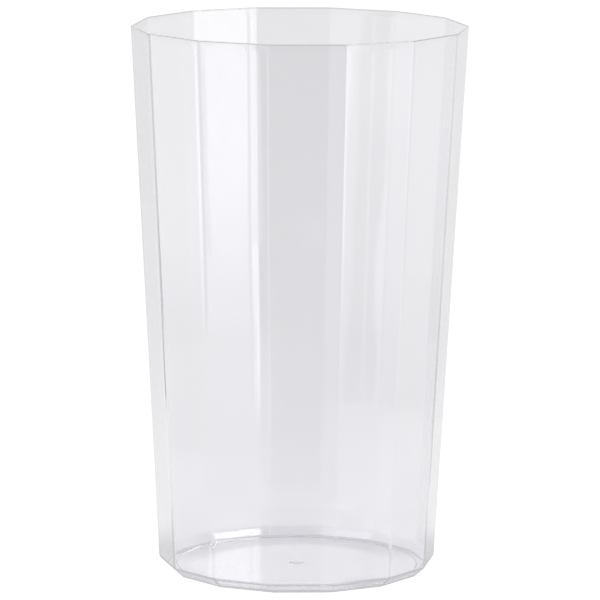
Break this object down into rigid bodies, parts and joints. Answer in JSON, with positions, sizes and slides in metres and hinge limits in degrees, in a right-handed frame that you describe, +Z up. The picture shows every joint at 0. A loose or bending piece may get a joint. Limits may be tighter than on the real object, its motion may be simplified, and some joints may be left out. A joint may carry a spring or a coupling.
{
  "type": "tumbler cup",
  "caption": "Clear hard plastic drinking tumbler with flat sides that taper down to a bevelled foot, and a thin rounded lip.",
  "frame": {"origin": "middle of the foot, on the surface that the tumbler stands on", "axes": "+Z up out of the mouth; one corner between two sides lies on +X, and -Y is the side nearest the picture's viewer"},
  "size_m": [0.078, 0.0762, 0.127],
  "materials": {
    "crystal_polystyrene": "clear, as moulded from a polished mould"
  },
  "bodies": {
    "root": {"tumbler": "crystal_polystyrene"}
  },
  "joints": []
}
